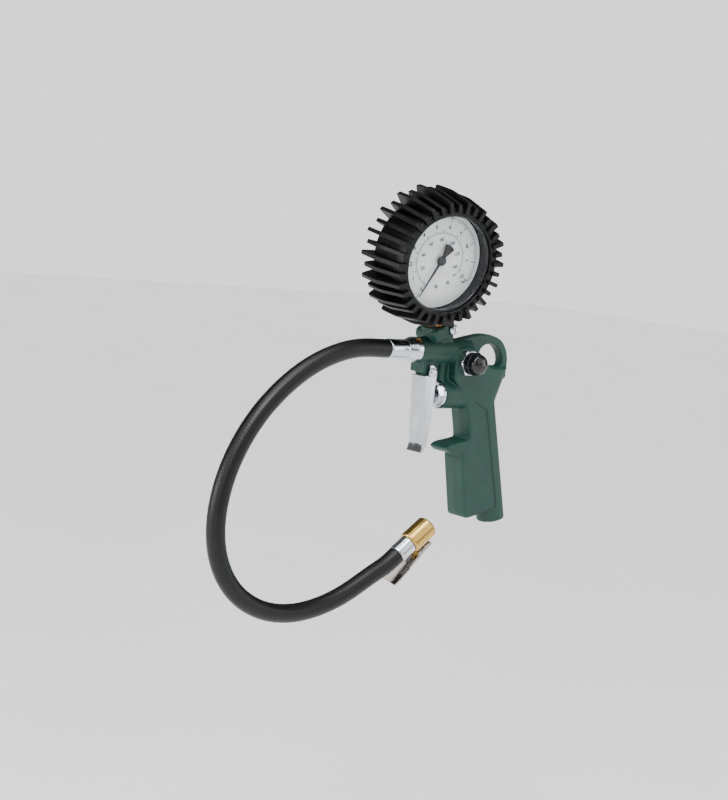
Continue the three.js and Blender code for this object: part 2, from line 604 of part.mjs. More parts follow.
/** One smooth curve in the plane of the gun, straight at both ends. */
function hose() {
  const points = HOSE_ROUTE.map(([x, z]) => V(x, 0, z));
  points.push(V(...CHUCK_START));
  const path = new THREE.CatmullRomCurve3(points, false, 'centripetal');
  const section = new THREE.Shape();
  section.absarc(0, 0, HOSE_R, 0, 2 * Math.PI);
  return new THREE.ExtrudeGeometry(section, {
    steps: 26, curveSegments: 5, bevelEnabled: false, extrudePath: path,
  });
}
add('hose', hose(), BLACK_RUBBER);

// ---------- clip-on chuck, built along +X from the hose's end, then turned into place ----------
const chuck = new THREE.Group();
chuck.position.set(...CHUCK_START);
chuck.rotation.set(CHUCK_ROLL, -CHUCK_RISE, 0, 'YXZ');
inflator.add(chuck);

const CHUCK_R = 9.25;
const CHUCK_FACE = 38.6;
const MOUTH_R = 5;
const MOUTH_FLOOR = 28.4;
const CHUCK_PIVOT = [23.4, -11.4];
const CHUCK_LUG_HALF = 3.6;

const rearFerrule = [[4.3, 0.4], [7.2, 0.4], [7.6, 2.4], [7.4, 8], [7.7, 12], [7.7, 14.6], [4.3, 14.6], [4.3, 0.4]];
add('rear_ferrule', turned(rearFerrule, CENTRE, X_AXIS, 28), ZINC, chuck);

function chuckBody() {
  const body = turned([
    [0, 1.2], [3.4, 1.2], [4, 3], [4, 15], [8.2, 15], [CHUCK_R, 16], [CHUCK_R, CHUCK_FACE - 1.6],
    [CHUCK_R - 1.8, CHUCK_FACE], [0, CHUCK_FACE],
  ], CENTRE, X_AXIS, 32);
  const [pivotX, pivotZ] = CHUCK_PIVOT;
  const lug = [[18.5, -5], [18.5, -9], [pivotX - 2, pivotZ - 1.8, 1.4], [pivotX + 2, pivotZ - 1.8, 1.4], [28, -9],
    [28, -5]];
  const mouth = turned([[0, MOUTH_FLOOR], [MOUTH_R, MOUTH_FLOOR], [MOUTH_R, CHUCK_FACE - 1], [MOUTH_R + 1,
    CHUCK_FACE + 1], [0, CHUCK_FACE + 1]], CENTRE, X_AXIS, 24);
  const passage = rod([0, 0, 0], [MOUTH_FLOOR + THROUGH, 0, 0], 1.8, 10);
  const toothSlot = block(29.4, 36.2, -3.2, 3.2, -12, -3);
  const pinHole = rod([pivotX, -9, pivotZ], [pivotX, 9, pivotZ], 1.3 + GAP, 12);
  return carve([body, plate(smoothShape(lug), CHUCK_LUG_HALF)], [mouth, passage, toothSlot, pinHole]);
}
add('chuck_body', chuckBody(), BRASS, chuck);

const sealRing = ring(2.4, MOUTH_R - GAP, MOUTH_FLOOR + GAP, MOUTH_FLOOR + 2.4, CENTRE, X_AXIS, 20);
add('chuck_seal', sealRing, BLACK_RUBBER, chuck);
const depressor = [[0, 26], [1.5, 26], [1.5, 30], [1.1, 31.2], [0, 31.2]];
add('chuck_valve_pin', turned(depressor, CENTRE, X_AXIS, 10), BRASS, chuck);

/** Pressed lever: two cheeks on the pin, a tooth that reaches the mouth and a finger tail. */
function chuckLever() {
  const [pivotX, pivotZ] = CHUCK_PIVOT;
  const half = 6.4;
  const sheet = 1.2;
  const tailHalf = 7.4;
  const cheek = [
    [18, -13.4], [19.5, -9.9, 2], [pivotX + 2, -8.9, 2], [33, -10.6, 1], [33.6, -13, 0.8], [26, -14.4, 2],
    [12, -17.2, 1], [10.5, -15.4],
  ];
  const web = [[33.8, -12.4], [33.8, -13.6], [26, -14.6], [8, -18], [-13, -20.4], [-13.6, -19.2], [8, -16.8],
    [26, -13.4]];
  const tooth = [[32.4, -13.2], [33.8, -13.2], [33.8, -5.8], [32.4, -5.8]];
  const cheeks = [-1, 1].map((side) => plate(smoothShape(cheek), sheet / 2).translate(0, side * (half - sheet / 2), 0));
  const tail = plate(smoothShape(web), tailHalf);
  const narrow = [-1, 1].map((side) => block(6, 40, Math.min(side * half, side * 9), Math.max(side * half, side * 9),
    -25, 0));
  const pinHole = rod([pivotX, -9, pivotZ], [pivotX, 9, pivotZ], 1.3 + GAP, 12);
  return carve([...cheeks, tail, plate(smoothShape(tooth), 2.6)], [...narrow, pinHole]);
}
add('chuck_lever', chuckLever(), ZINC, chuck);
const pinOrigin = [CHUCK_PIVOT[0], 0, CHUCK_PIVOT[1]];
const leverPin = [[0, -7.6], [1.8, -7.6], [2, -7.2], [2, -6.8], [1.3, -6.8], [1.3, 6.8], [2, 6.8], [2, 7.2], [1.8, 7.6],
  [0, 7.6]];
add('chuck_lever_pin', turned(leverPin, pinOrigin, Y_AXIS, 14), STEEL, chuck);
const springOrigin = [12.6, 0, -8.1];
add('chuck_spring', coil(2, 0.7, 0, 7, 3, springOrigin, [0, 0, -1]), STEEL, chuck);

export default inflator;
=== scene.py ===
from math import cos, pi, radians, sin

import bmesh
import bpy
import numpy as np
from mathutils import Matrix, Vector


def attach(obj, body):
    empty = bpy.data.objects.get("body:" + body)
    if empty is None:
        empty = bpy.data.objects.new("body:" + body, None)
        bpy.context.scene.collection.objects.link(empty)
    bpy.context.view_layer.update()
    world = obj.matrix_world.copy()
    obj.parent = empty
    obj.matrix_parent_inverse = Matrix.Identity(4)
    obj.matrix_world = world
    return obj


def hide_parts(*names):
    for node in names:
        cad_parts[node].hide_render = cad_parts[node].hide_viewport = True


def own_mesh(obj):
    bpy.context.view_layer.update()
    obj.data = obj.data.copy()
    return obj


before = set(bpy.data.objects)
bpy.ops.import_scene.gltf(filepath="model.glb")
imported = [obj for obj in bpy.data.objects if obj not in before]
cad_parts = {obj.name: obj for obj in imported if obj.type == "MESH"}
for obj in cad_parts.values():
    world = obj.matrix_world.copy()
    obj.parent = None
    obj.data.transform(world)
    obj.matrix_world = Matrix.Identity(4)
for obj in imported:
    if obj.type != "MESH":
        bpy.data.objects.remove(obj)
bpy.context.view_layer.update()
MM = 0.001

# ---------------------------------------------------------------- camera, floor and light
# The camera looks from the hose side and a little above, turned slightly about its own line of
# sight. The floor is far below the gun, which is held in the air by its grip.
AZIMUTH = radians(-40)
ELEVATION = radians(6)
TURN = radians(5.7)
AIM = Vector((-0.120, 0, 0.047))
CAMERA_DISTANCE = 1.4

to_camera = Vector((sin(AZIMUTH) * cos(ELEVATION), -cos(AZIMUTH) * cos(ELEVATION), sin(ELEVATION)))
level = Vector((cos(AZIMUTH), sin(AZIMUTH), 0))
upright = to_camera.cross(level)
right = level * cos(TURN) + upright * sin(TURN)
up = upright * cos(TURN) - level * sin(TURN)
camera_data = bpy.data.cameras.new("camera")
camera_data.lens = 90
camera_data.sensor_fit = "HORIZONTAL"
camera_data.sensor_width = 36
camera = bpy.data.objects.new("camera", camera_data)
camera_turn = Matrix((right, up, to_camera)).transposed().to_4x4()
camera.matrix_world = Matrix.Translation(AIM + CAMERA_DISTANCE * to_camera) @ camera_turn
bpy.context.collection.objects.link(camera)
bpy.context.scene.camera = camera


def linear(code):
    """A colour written as sRGB hex, as the linear RGBA that shaders take."""
    channels = np.array([int(code[i:i + 2], 16) for i in (1, 3, 5)]) / 255
    low = channels / 12.92
    high = ((channels + 0.055) / 1.055) ** 2.4
    return (*np.where(channels <= 0.04045, low, high).tolist(), 1.0)


def node(tree, kind, inputs=None, **settings):
    """Adds a shader node; inputs maps a socket to a value or to another node's output."""
    made = tree.nodes.new("ShaderNode" + kind)
    for key, value in settings.items():
        setattr(made, key, value)
    for key, value in (inputs or {}).items():
        if isinstance(value, bpy.types.NodeSocket):
            tree.links.new(value, made.inputs[key])
        else:
            made.inputs[key].default_value = value
    return made


def new_look(name, **sockets):
    """A new material with its Principled BSDF and any sockets set on it."""
    look = bpy.data.materials.new(name)
    look.use_nodes = True
    tree = look.node_tree
    shader = tree.nodes["Principled BSDF"]
    for key, value in sockets.items():
        shader.inputs[key.replace("_", " ")].default_value = value
    return look, tree, shader


def grained(name, dark, light, grain, relief, roughness, stretch=(1, 1, 1), patches=9,
            space="Object", **sockets):
    """A material whose colour and gloss drift over patches, with a fine grain in relief.

    grain is the grain's size and relief its height, in mm; stretch draws the grain out along an axis.
    """
    look, tree, shader = new_look(name, **sockets)
    place = node(tree, "TexCoord").outputs[space]
    drawn = node(tree, "Mapping", {"Vector": place, "Scale": tuple(1 / s for s in stretch)}).outputs["Vector"]
    drift = node(tree, "TexNoise", {"Vector": place, "Scale": 1 / (patches * MM), "Detail": 4.0,
                                    "Roughness": 0.6})
    fine = node(tree, "TexNoise", {"Vector": drawn, "Scale": 1 / (grain * MM), "Detail": 3.0,
                                   "Roughness": 0.55})
    both = node(tree, "Math", {0: drift.outputs["Fac"], 1: fine.outputs["Fac"]}, operation="ADD")
    blend = node(tree, "MapRange", {"Value": both.outputs[0], "From Min": 0.7, "From Max": 1.3})
    tint = node(tree, "Mix", {"Factor": blend.outputs[0], 6: linear(dark), 7: linear(light)}, data_type="RGBA")
    tree.links.new(tint.outputs[2], shader.inputs["Base Color"])
    gloss = node(tree, "MapRange", {"Value": both.outputs[0], "From Min": 0.7, "From Max": 1.3,
                                    "To Min": roughness[0], "To Max": roughness[1]})
    tree.links.new(gloss.outputs[0], shader.inputs["Roughness"])
    bump = node(tree, "Bump", {"Height": fine.outputs["Fac"], "Distance": relief * MM, "Strength": 1.0})
    tree.links.new(bump.outputs["Normal"], shader.inputs["Normal"])
    return look


FLOOR_Z = -0.42
floor_mesh = bpy.data.meshes.new("floor")
floor_mesh.from_pydata([(-9, -9, FLOOR_Z), (9, -9, FLOOR_Z), (9, 9, FLOOR_Z), (-9, 9, FLOOR_Z)], [],
                       [(0, 1, 2, 3)])
floor = bpy.data.objects.new("floor", floor_mesh)
bpy.context.collection.objects.link(floor)
floor_mesh.materials.append(grained("pale_floor", "#f2f2f2", "#f8f8f8", 4, 0.02, (0.7, 0.9), patches=400))

world = bpy.data.worlds.new("studio")
world.use_nodes = True
sky = world.node_tree
towards = node(sky, "TexCoord").outputs["Generated"]
height = node(sky, "SeparateXYZ", {"Vector": towards}).outputs["Z"]
glow = node(sky, "MapRange", {"Value": height, "From Min": 0.12, "From Max": 0.5, "To Min": 1.5, "To Max": 0.3},
            interpolation_type="SMOOTHSTEP")


def soft_box(direction, edge):
    """A bright soft-edged round panel in that direction, for shiny surfaces to mirror."""
    lit = node(sky, "VectorMath", {0: towards, 1: Vector(direction).normalized()}, operation="DOT_PRODUCT")
    return node(sky, "MapRange", {"Value": lit.outputs["Value"], "From Min": edge, "From Max": edge + 0.12,
                                  "To Min": 0.0, "To Max": 1.6}, interpolation_type="SMOOTHSTEP").outputs[0]


panels = node(sky, "Math", {0: soft_box((-0.85, -0.25, 0.3), 0.72), 1: soft_box((0.25, -0.85, 0.5), 0.84)})
mirrored = node(sky, "Math", {0: panels.outputs[0], 1: 0.14})
shiny = node(sky, "LightPath").outputs["Is Glossy Ray"]
strength = node(sky, "Mix", {0: shiny, 2: glow.outputs[0], 3: mirrored.outputs[0]}, data_type="FLOAT")
sky.links.new(strength.outputs[0], sky.nodes["Background"].inputs["Strength"])
sky.nodes["Background"].inputs["Color"].default_value = (1, 1, 1, 1)
bpy.context.scene.world = world


def area_light(name, place, size, power):
    """A square soft box that faces the gun."""
    data = bpy.data.lights.new(name, "AREA")
    data.size = size
    data.energy = power
    lamp = bpy.data.objects.new(name, data)
    lamp.location = place
    lamp.rotation_euler = (AIM - Vector(place)).to_track_quat("-Z", "Y").to_euler()
    bpy.context.collection.objects.link(lamp)


area_light("key_light", (-0.9, -0.8, 1.2), 0.5, 14)
area_light("side_light", (-1.5, 0.5, 0.2), 0.4, 12)
area_light("fill_light", (1.1, -0.9, 0.3), 0.7, 5)
overhead = bpy.data.lights.new("overhead_light", "SUN")
overhead.energy = 3.6
overhead.angle = radians(50)
overhead_lamp = bpy.data.objects.new("overhead_light", overhead)
overhead_lamp.rotation_euler = (radians(12), radians(-14), 0)
bpy.context.collection.objects.link(overhead_lamp)

# ---------------------------------------------------------------- hose
# Air hose of black rubber with a fine cloth imprint from its wrapped curing, 14.5 mm across. It
# stands out of the barrel in one wide stiff loop and ends in the chuck's crimped ferrule.
HOSE_R = 7.25 * MM
HOSE_ROUTE = MM * np.array([
    (-102.6, 87.4), (-116, 87.6), (-130, 87), (-150, 82.8), (-170, 74.8), (-188, 64), (-204.5, 50.5), (-219, 35),
    (-231, 17.5), (-240.5, -2), (-246.5, -22.5), (-248.6, -43.5), (-246, -64), (-238, -83), (-224.5, -99),
    (-206, -110.5), (-184, -116.5), (-161, -116.6), (-138, -111.8), (-116, -103), (-94.5, -91.4), (-79.4, -83.2),
    (-71, -77)])


def smooth_curve(points, count):
    """A natural cubic spline through the points, at evenly spaced parameters of chord length."""
    t = np.concatenate([[0], np.cumsum(np.linalg.norm(np.diff(points, axis=0), axis=1))])
    h = np.diff(t)
    n = len(t)
    matrix = np.eye(n)
    known = np.zeros_like(points)
    inner = np.arange(1, n - 1)
    matrix[inner, inner - 1] = h[:-1]
    matrix[inner, inner] = 2 * (h[:-1] + h[1:])
    matrix[inner, inner + 1] = h[1:]
    slope = np.diff(points, axis=0) / h[:, None]
    known[1:-1] = 6 * np.diff(slope, axis=0)
    second = np.linalg.solve(matrix, known)
    at = np.linspace(0, t[-1], count)
    k = np.clip(np.searchsorted(t, at) - 1, 0, n - 2)
    a = ((t[k + 1] - at) / h[k])[:, None]
    b = 1 - a
    bend = ((a ** 3 - a) * second[k] + (b ** 3 - b) * second[k + 1]) * (h[k] ** 2)[:, None] / 6
    return a * points[k] + b * points[k + 1] + bend


def placed(local, place):
    """Points in mm in a piece's own frame, turned and moved by place into metres."""
    return MM * local @ np.array(place.to_3x3()).T + np.array(place.translation)


def coordinates(mesh):
    """The mesh's points, one row each."""
    flat = np.empty(len(mesh.vertices) * 3)
    mesh.vertices.foreach_get("co", flat)
    return flat.reshape(-1, 3)


def skin(name, grids, look, body, nodes=()):
    """A mesh over grids of points, each with rows along the piece and columns that close round it.

    Its UV map is in metres: round the widest row, then along. Rows that shrink to a point become
    poles, and the faces are turned outward.
    """
    points, faces, uvs = [], [], []
    for grid in grids:
        rows, cols = grid.shape[:2]
        i, j = np.meshgrid(np.arange(rows - 1), np.arange(cols), indexing="ij")
        k = (j + 1) % cols
        quads = np.stack([i * cols + j, i * cols + k, (i + 1) * cols + k, (i + 1) * cols + j], -1)
        faces.append(quads.reshape(-1, 4) + sum(len(p) for p in points))
        points.append(grid.reshape(-1, 3))
        steps = np.linalg.norm(np.diff(grid, axis=0), axis=2).mean(axis=1)
        along = np.concatenate([[0], np.cumsum(steps)])
        around = np.linalg.norm(np.diff(grid, axis=1), axis=2).sum(axis=1).max() / cols
        u = np.stack([j, j + 1, j + 1, j], -1) * around
        v = along[np.stack([i, i, i + 1, i + 1], -1)]
        uvs.append(np.stack([u, v], -1).reshape(-1))
    mesh = bpy.data.meshes.new(name)
    mesh.from_pydata(np.concatenate(points).tolist(), [], np.concatenate(faces).tolist())
    layer = mesh.uv_layers.new(name="UVMap")
    layer.data.foreach_set("uv", np.concatenate(uvs).astype(np.float32))
    return finish_mesh(name, mesh, look, body, nodes)


def finish_mesh(name, mesh, look, body, nodes=()):
    """Merges doubled points, turns the faces outward, shades smoothly and hands the piece over."""
    work = bmesh.new()
    work.from_mesh(mesh)
    bmesh.ops.remove_doubles(work, verts=work.verts, dist=1e-7)
    bmesh.ops.recalc_face_normals(work, faces=work.faces)
    work.to_mesh(mesh)
    work.free()
    mesh.polygons.foreach_set("use_smooth", np.ones(len(mesh.polygons), bool))
    mesh.set_sharp_from_angle(angle=radians(42))
    mesh.materials.append(look)
    piece = bpy.data.objects.new(name, mesh)
    bpy.context.collection.objects.link(piece)
    even = piece.modifiers.new("even_normals", "WEIGHTED_NORMAL")
    even.keep_sharp = True
    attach(piece, body)
    if nodes:
        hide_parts(*nodes)
    return piece


def tube_grid(path, radius, sides, caps=True):
    """Rings square to a path, with no twist, each drawn in to a point at the ends if capped."""
    tangent = np.gradient(path, axis=0)
    tangent /= np.linalg.norm(tangent, axis=1)[:, None]
    side = np.zeros_like(path)
    start = np.cross(tangent[0], (0, 1, 0))
    side[0] = start / np.linalg.norm(start) if np.linalg.norm(start) > 1e-6 else (1, 0, 0)
    for i in range(1, len(path)):
        turned_on = side[i - 1] - tangent[i] * side[i - 1].dot(tangent[i])
        side[i] = turned_on / np.linalg.norm(turned_on)
    other = np.cross(tangent, side)
    angle = np.linspace(0, 2 * pi, sides, endpoint=False)
    ring = np.cos(angle)[None, :, None] * side[:, None] + np.sin(angle)[None, :, None] * other[:, None]
    scale = np.full(len(path), radius)
    if caps:
        path = np.concatenate([path[:1], path[:1], path, path[-1:], path[-1:]])
        ring = np.concatenate([ring[:1], ring[:1], ring, ring[-1:], ring[-1:]])
        scale = np.concatenate([[0, 0.93 * radius], scale, [0.93 * radius, 0]])
    return path[:, None] + ring * scale[:, None, None]


def hose_rubber():
    """Cured rubber with the imprint of a woven wrap: fine cords both ways, and broad worn patches."""
    look, tree, shader = new_look("wrapped_hose_rubber", Specular_IOR_Level=0.3)
    place = node(tree, "TexCoord").outputs["UV"]
    weave = []
    for axis, period in (("X", 2.4), ("Y", 2.8)):
        wave = node(tree, "TexWave", {"Vector": place, "Scale": 0.314 / (period * MM), "Distortion": 0.6,
                                      "Detail": 1.0, "Detail Scale": 2.0}, bands_direction=axis)
        weave.append(wave.outputs["Fac"])
    cloth = node(tree, "Math", {0: weave[0], 1: weave[1]}, operation="MULTIPLY")
    drift = node(tree, "TexNoise", {"Vector": node(tree, "TexCoord").outputs["Object"], "Scale": 70.0,
                                    "Detail": 5.0})
    tint = node(tree, "Mix", {"Factor": drift.outputs["Fac"], 6: linear("#030303"), 7: linear("#080808")},
                data_type="RGBA")
    lifted = node(tree, "Mix", {"Factor": cloth.outputs[0], 6: tint.outputs[2], 7: linear("#0e0f0f")},
                  data_type="RGBA")
    tree.links.new(lifted.outputs[2], shader.inputs["Base Color"])
    gloss = node(tree, "MapRange", {"Value": drift.outputs["Fac"], "To Min": 0.34, "To Max": 0.46})
    tree.links.new(gloss.outputs[0], shader.inputs["Roughness"])
    bump = node(tree, "Bump", {"Height": cloth.outputs[0], "Distance": 0.12 * MM, "Strength": 0.7})
    tree.links.new(bump.outputs["Normal"], shader.inputs["Normal"])
    return look


route = np.zeros((len(HOSE_ROUTE), 3))
route[:, [0, 2]] = HOSE_ROUTE
hose_path = smooth_curve(route, 260)
hose = skin("air_hose", [tube_grid(hose_path, HOSE_R, 48)], hose_rubber(), "gun", ["hose"])

# ---------------------------------------------------------------- ferrules and hose fitting
# Turned and chrome-plated: a fitting with a broad flange screws into the barrel, and a thin
# ferrule is crimped over the hose at each end, which leaves shallow waists.
BARREL_AXIS = Matrix.Translation((0, 0, 87.4 * MM)) @ Matrix.Rotation(pi / 2, 4, "Y")
SPRING_STEPS = 24
LATHE_LINES = (20.0, 1, 1)


def softened(corners, closed_loop=False):
    """A profile through (radius, distance, rounding) corners in mm, each corner eased into an arc."""
    corners = [(*c, 0.25)[:3] for c in corners]
    points = []
    last = len(corners) - 1
    for i, (r, s, size) in enumerate(corners):
        here = np.array((r, s), float)
        if i in (0, last) and not closed_loop:
            points.append(here)
            continue
        before = np.array(corners[i - 1][:2], float) - here
        after = np.array(corners[(i + 1) % len(corners)][:2], float) - here
        size = min(size, 0.45 * np.linalg.norm(before), 0.45 * np.linalg.norm(after))
        enter = here + before / np.linalg.norm(before) * size
        leave = here + after / np.linalg.norm(after) * size
        t = np.linspace(0, 1, 6)[:, None]
        points.extend((1 - t) ** 2 * enter + 2 * t * (1 - t) * here + t ** 2 * leave)
    if closed_loop:
        points.append(points[0])
    return np.array(points)


def revolved(corners, place, flats=None, closed_loop=False, sides=96):
    """A grid turned about place's z axis: the profile swept round, cut to flats for a hexagon.

    flats is (number, mm across): the radius is held to the polygon's own radius at each angle.
    """
    profile = softened(corners, closed_loop)
    angle = np.linspace(0, 2 * pi, sides, endpoint=False)
    radius = np.repeat(profile[:, :1], sides, axis=1)
    if flats:
        count, across = flats
        within = (angle + pi / count) % (2 * pi / count) - pi / count
        radius = np.minimum(radius, (across / 2) / np.cos(within))
    along = np.repeat(profile[:, 1:], sides, axis=1)
    local = np.stack([radius * np.cos(angle), radius * np.sin(angle), along], -1)
    return placed(local, place)


def turned(name, corners, place, look, body, nodes=(), slot=None, **shape):
    """One turned piece."""
    return skin(name, [revolved(corners, place, **shape)], look, body, nodes)


def bright_plate(name, dark, light, roughness):
    """Plated metal with fine lathe lines round it, read from the UV map's distance along the piece."""
    return grained(name, dark, light, 0.12, 0.004, roughness, LATHE_LINES, 6, "UV", Metallic=1.0)


chrome = bright_plate("bright_chrome_plate", "#c6cad0", "#d4d7dc", (0.1, 0.17))
turned("hose_fitting_turned", [
    (1.8, -100), (3.4, -100), (4, -98), (4, -84.0), (7.6, -84.0, 0.5), (8.0, -83.2), (10.2, -78.2, 1.2),
    (10.2, -72.4, 0.5), (6.2, -72.4), (6.2, -58.5), (1.8, -58.5)], BARREL_AXIS, chrome, "gun", ["hose_fitting"],
    "chrome_plate", closed_loop=True)
front_ferrule = turned("front_ferrule_crimped", [
    (4.3, -102.3), (7.5, -102.3, 0.3), (7.85, -101.3, 0.6), (7.7, -96, 2), (7.7, -90, 2), (7.9, -86, 1.2),
    (7.85, -84.35, 0.2), (4.3, -84.35)], BARREL_AXIS, chrome, "gun", ["front_ferrule"], "chrome_plate",
    closed_loop=True)

# ---------------------------------------------------------------- chuck
# Clip-on chuck of turned brass with a rubber seal and a depressor pin in its mouth. A nickelled
# steel lever on a cross pin hooks its tooth over the valve; a small coil spring pushes its tail out.
CHUCK = (Matrix.Translation(MM * Vector((-71, 0, -77))) @ Matrix.Rotation(radians(-36.6), 4, "Y")
         @ Matrix.Rotation(radians(20), 4, "X"))
CHUCK_AXIS = CHUCK @ Matrix.Rotation(pi / 2, 4, "Y")


def recast(name, source, voxel, look, body, rounds=3, reshape=None):
    """A fine skin over a CAD piece: resampled at voxel mm and eased to cast edges."""
    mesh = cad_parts[source].data.copy()
    work = bmesh.new()
    work.from_mesh(mesh)
    bmesh.ops.remove_doubles(work, verts=work.verts, dist=1e-6)
    work.to_mesh(mesh)
    work.free()
    rough = bpy.data.objects.new("rough", mesh)
    bpy.context.collection.objects.link(rough)
    fine = rough.modifiers.new("fine", "REMESH")
    fine.mode = "VOXEL"
    fine.voxel_size = voxel * MM
    eased = rough.modifiers.new("eased", "SMOOTH")
    eased.factor = 0.5
    eased.iterations = rounds
    graph = bpy.context.evaluated_depsgraph_get()
    result = bpy.data.meshes.new_from_object(rough.evaluated_get(graph))
    bpy.data.objects.remove(rough)
    if reshape:
        result.vertices.foreach_set("co", reshape(coordinates(result)).reshape(-1))
    result.materials.clear()
    result.name = name
    piece = finish_mesh(name, result, look, body, [source])
    result.set_sharp_from_angle(angle=pi)
    return piece


def dress(source, look):
    """Gives a CAD piece that stays a better material."""
    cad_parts[source].data.materials.clear()
    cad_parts[source].data.materials.append(look)


rear_ferrule = turned("rear_ferrule_crimped", [
    (4.3, 0.4), (7.4, 0.4, 0.3), (7.7, 1.4, 0.6), (7.6, 5, 2), (7.6, 11, 2), (7.7, 13, 0.8), (7.7, 14.6, 0.3),
    (4.3, 14.6)], CHUCK_AXIS, chrome, "gun", ["rear_ferrule"], "chrome_plate", closed_loop=True)
brass = grained("turned_brass", "#bb9448", "#d3b065", 0.35, 0.008, (0.16, 0.26), (1, 1, 1), 8, Metallic=1.0)
chuck_body = recast("chuck_body_turned", "chuck_body", 0.3, brass, "gun", 4)
steel = grained("drawn_steel", "#8a8d92", "#b4b6ba", 0.3, 0.006, (0.22, 0.38), (1, 1, 1), 4, Metallic=1.0)
nickel = grained("nickelled_steel", "#86807a", "#a9a39a", 0.5, 0.002, (0.2, 0.3), (1, 1, 1), 5, Metallic=1.0)
seal_rubber = grained("moulded_seal_rubber", "#101010", "#1d1d1d", 0.4, 0.01, (0.5, 0.65))
chuck_lever = recast("chuck_lever_pressed", "chuck_lever", 0.2, nickel, "clip_lever", 8)
chuck_seal = turned("chuck_seal_moulded", [(2.4, 28.7), (4.7, 28.7), (4.7, 30.8), (2.4, 30.8)], CHUCK_AXIS,
                    seal_rubber, "gun", ["chuck_seal"], "seal_rubber", closed_loop=True)
chuck_pin = turned("chuck_lever_pin_turned", [
    (0, -7.6), (1.8, -7.6), (2, -7.2), (2, -6.8), (1.3, -6.8), (1.3, 6.8), (2, 6.8), (2, 7.2), (1.8, 7.6), (0, 7.6)],
    CHUCK @ Matrix.Translation(MM * Vector((23.4, 0, -11.4))) @ Matrix.Rotation(-pi / 2, 4, "X"), steel, "gun",
    ["chuck_lever_pin"], "steel", sides=48)


def coil_spring(name, source, place, radius, wire, start, end, turns):
    """Round wire wound on a helix about place's z axis, from start to end in mm."""
    t = np.linspace(0, 1, int(turns * SPRING_STEPS) + 1)
    angle = 2 * pi * turns * t
    helix = np.stack([radius * np.cos(angle), radius * np.sin(angle), start + (end - start) * t], -1)
    return skin(name, [tube_grid(placed(helix, place), wire / 2 * MM, 12)], steel, "gun", [source])


chuck_spring = coil_spring(
    "chuck_spring_wound", "chuck_spring",
    CHUCK @ Matrix.Translation(MM * Vector((12.6, 0, -8.1))) @ Matrix.Rotation(pi, 4, "X"),
    2, 0.7, 0.1, 6.9, 3)
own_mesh(chuck_spring)
dress("chuck_valve_pin", brass)

# ---------------------------------------------------------------- gun body
# One metal die casting under dark green powder coat: barrel, grip with two finger faces, hanging
# loop, gauge neck and inlet boss. Powder coat rounds every edge and leaves a fine even grain.
PANEL_STEP = np.array([(-13, 47.5), (0, 41.5), (21.6, -36.1), (21.5, -38.4), (19.5, -39.7), (-3, -44.9)])
FRONT_FACES = np.array([(-48, -10.6), (4.7, -21.8), (17.2, -13.4), (46.5, -20.7)])
STEP_WIDTH = 0.9
STEP_DEPTH = 0.4
PANEL_Y = 10
STEP_SHADE_WIDTH = 0.6
REST_Z = 11
RIDGE = 1.1
RIDGE_REACH = 5
RIDGE_HALF = 11
FADE = 6


def to_segments(points, corners):
    """Each point's distance to the nearest of the straight runs between the corners."""
    start, run = corners[:-1], np.diff(corners, axis=0)
    gap = points[:, None] - start[None]
    share = np.clip((gap * run).sum(-1) / (run ** 2).sum(-1), 0, 1)
    return np.linalg.norm(gap - share[..., None] * run, axis=-1).min(axis=1)


def finger_faces(points):
    """Raises the finger faces to a blunt ridge and sinks a groove round the side panels.

    The ridge falls off linearly to either side and away from the face, and fades at each face's
    ends; the groove is deepest on the panel's outline and runs out linearly to its width.
    """
    x, y, z = (points / MM).T
    low, high = FRONT_FACES[:2], FRONT_FACES[2:]
    face_x = np.where(z < REST_Z, np.interp(z, low[:, 0], low[:, 1]), np.interp(z, high[:, 0], high[:, 1]))
    within = np.clip((z + 48) / FADE, 0, 1) * np.clip((46 - z) / FADE, 0, 1)
    within = within * np.clip(np.abs(z - REST_Z) / 3 - 2, 0, 1)
    near = np.clip(1 - (x - face_x) / RIDGE_REACH, 0, 1) * within
    points[:, 0] -= MM * RIDGE * near * np.clip(1 - np.abs(y) / RIDGE_HALF, 0, 1)
    from_step = to_segments(np.stack([x, z], -1), PANEL_STEP)
    cut = np.clip(1 - from_step / STEP_WIDTH, 0, 1) * (np.abs(y) > PANEL_Y + 0.2)
    points[:, 1] -= MM * STEP_DEPTH * cut * np.sign(y)
    return points


def lined_powder_coat():
    """The powder coat, with a fine parting line down the middle and a painted shade line darkening the groove."""
    look = grained("green_powder_coat", "#0b3027", "#143f33", 0.5, 0.07, (0.42, 0.56), patches=14,
                   Specular_IOR_Level=0.35)
    tree = look.node_tree
    shader = tree.nodes["Principled BSDF"]
    colour = shader.inputs["Base Color"].links[0].from_socket
    grain = shader.inputs["Normal"].links[0].from_socket
    across = node(tree, "SeparateXYZ", {"Vector": node(tree, "TexCoord").outputs["Object"]}).outputs["Y"]
    side = node(tree, "Math", {0: across}, operation="ABSOLUTE").outputs[0]
    parting = node(tree, "MapRange", {"Value": side, "From Min": 0.15 * MM, "From Max": 0.4 * MM, "To Min": 0.5,
                                      "To Max": 0.0}).outputs[0]
    # Painted shade: the coat goes dark along the groove round the side panels, standing in for the groove's shadow.
    step_shade = node(tree, "Attribute", attribute_name="panel_step_shade").outputs["Fac"]
    parting_line_and_shade = node(tree, "Math", {0: parting, 1: step_shade}, operation="MAXIMUM").outputs[0]
    tint = node(tree, "Mix", {"Factor": parting_line_and_shade, 6: colour, 7: linear("#04140f")}, data_type="RGBA")
    tree.links.new(tint.outputs[2], shader.inputs["Base Color"])
    step = node(tree, "Bump", {"Height": parting_line_and_shade, "Distance": 0.25 * MM, "Strength": 0.6, "Normal": grain},
                invert=True)
    tree.links.new(step.outputs["Normal"], shader.inputs["Normal"])
    return look


